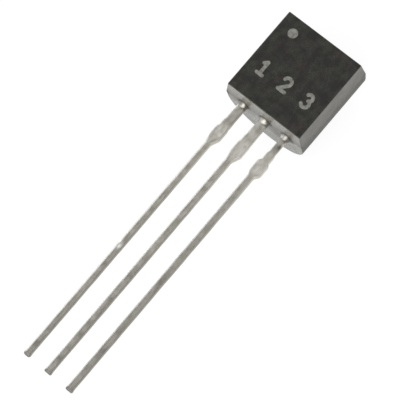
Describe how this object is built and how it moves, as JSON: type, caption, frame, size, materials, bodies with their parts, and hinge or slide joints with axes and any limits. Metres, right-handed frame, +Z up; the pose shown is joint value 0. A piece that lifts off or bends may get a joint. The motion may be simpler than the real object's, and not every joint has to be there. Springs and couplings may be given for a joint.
{
  "type": "three-lead transistor",
  "caption": "Small-signal transistor in a D-shaped moulded body with a flat face, a curved back and a row of long straight leads.",
  "frame": {"origin": "on the surface that the part lies on, under the middle of its bounding box", "axes": "+Z up, out of the flat face less the resting tilt; +Y along the part from the lead tips to the top of the body; +X across the three leads"},
  "size_m": [0.0044, 0.0198, 0.0046],
  "materials": {
    "epoxy": "black moulding compound, matt with a fine grain",
    "tinned_lead": "dull tin-plated stamped sheet",
    "silicon": "polished dark grey chip",
    "solder": "soft solder",
    "gold_wire": "drawn gold wire"
  },
  "bodies": {
    "root": {"moulded_body": "epoxy", "lead_left": "tinned_lead", "lead_middle": "tinned_lead", "lead_right": "tinned_lead", "silicon_chip": "silicon", "chip_solder": "solder", "bond_wire_left": "gold_wire", "bond_wire_right": "gold_wire"}
  },
  "joints": []
}
